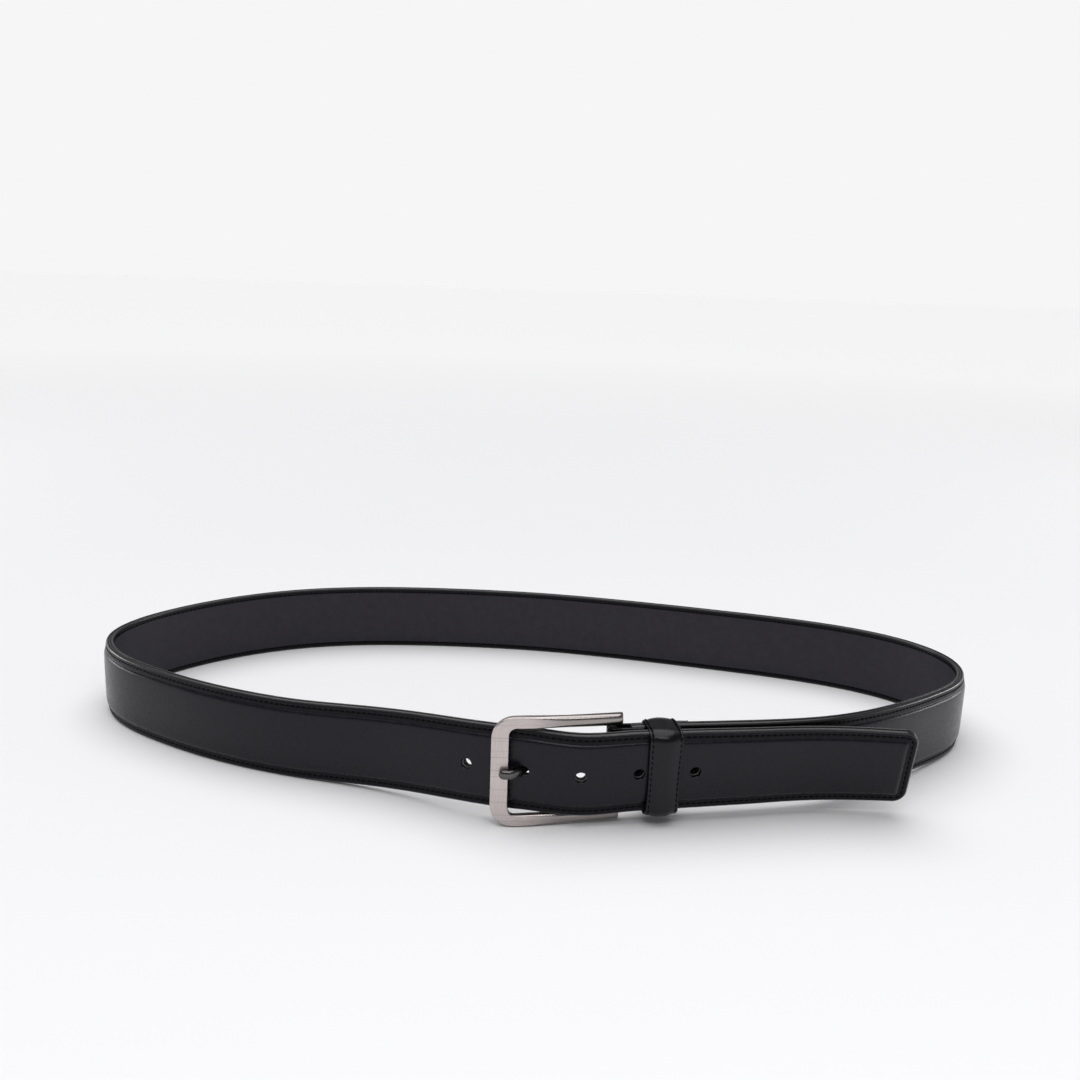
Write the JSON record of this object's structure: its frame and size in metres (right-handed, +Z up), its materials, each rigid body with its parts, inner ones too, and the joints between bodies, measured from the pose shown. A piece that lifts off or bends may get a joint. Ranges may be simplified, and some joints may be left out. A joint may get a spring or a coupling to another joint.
{
  "type": "leather dress belt",
  "caption": "Buckled leather dress belt standing on its edge as a loop, with a prong buckle, padded stitched strap, sliding keeper and free end.",
  "frame": {"origin": "on the floor under the middle of the belt's bounding box", "axes": "+Z up, across the strap's width; +X along the loop's long direction, towards the free end; -Y towards the buckle's front"},
  "size_m": [0.46, 0.2472, 0.0504],
  "materials": {
    "face_leather": "satin black, fine grain",
    "lining_leather": "matte black",
    "padding": "felt, hidden between the leathers",
    "core": "bonded fibre, its edge painted black with the leathers",
    "thread": "black waxed thread",
    "gunmetal": "brushed gunmetal plating",
    "dark_gunmetal": "dark polished gunmetal plating"
  },
  "bodies": {
    "strap": {"face_leather": "face_leather", "padding": "padding", "core": "core", "lining": "lining_leather", "face_stitching_upper": "thread", "face_stitching_lower": "thread", "lining_stitching_upper": "thread", "lining_stitching_lower": "thread", "fold_stitching": "thread"},
    "frame": {"buckle_frame": "gunmetal", "pivot_bar": "gunmetal"},
    "prong": {"prong": "dark_gunmetal"},
    "keeper": {"keeper_leather": "face_leather", "keeper_lining": "lining_leather", "keeper_stitching_left": "thread", "keeper_stitching_right": "thread", "keeper_staple": "gunmetal"},
    "free_end": {"free_end_face_leather": "face_leather", "free_end_padding": "padding", "free_end_core": "core", "free_end_lining": "lining_leather", "free_end_face_stitching": "thread", "free_end_lining_stitching": "thread"}
  },
  "joints": [
    {"name": "frame_swing", "type": "hinge", "parent": "strap", "child": "frame", "pos_m": [0.0359, -0.1085, 0.0255], "axis": [0, 0, 1], "range_deg": [-0.8, 0.6]},
    {"name": "prong_lift", "type": "hinge", "parent": "frame", "child": "prong", "pos_m": [0.0359, -0.1085, 0.0255], "axis": [0, 0, 1], "range_deg": [0, 0.7]},
    {"name": "keeper_slide", "type": "slide", "parent": "strap", "child": "keeper", "axis": [0.9848, 0.1736, 0], "range_m": [-0.003, 0.009]},
    {"name": "free_end_flex", "type": "hinge", "parent": "strap", "child": "free_end", "pos_m": [0.09377, -0.10842, 0.02508], "axis": [-0.0244, 0.1384, -0.9901], "range_deg": [0, 35], "stiffness_Nm_per_rad": 0.2}
  ]
}
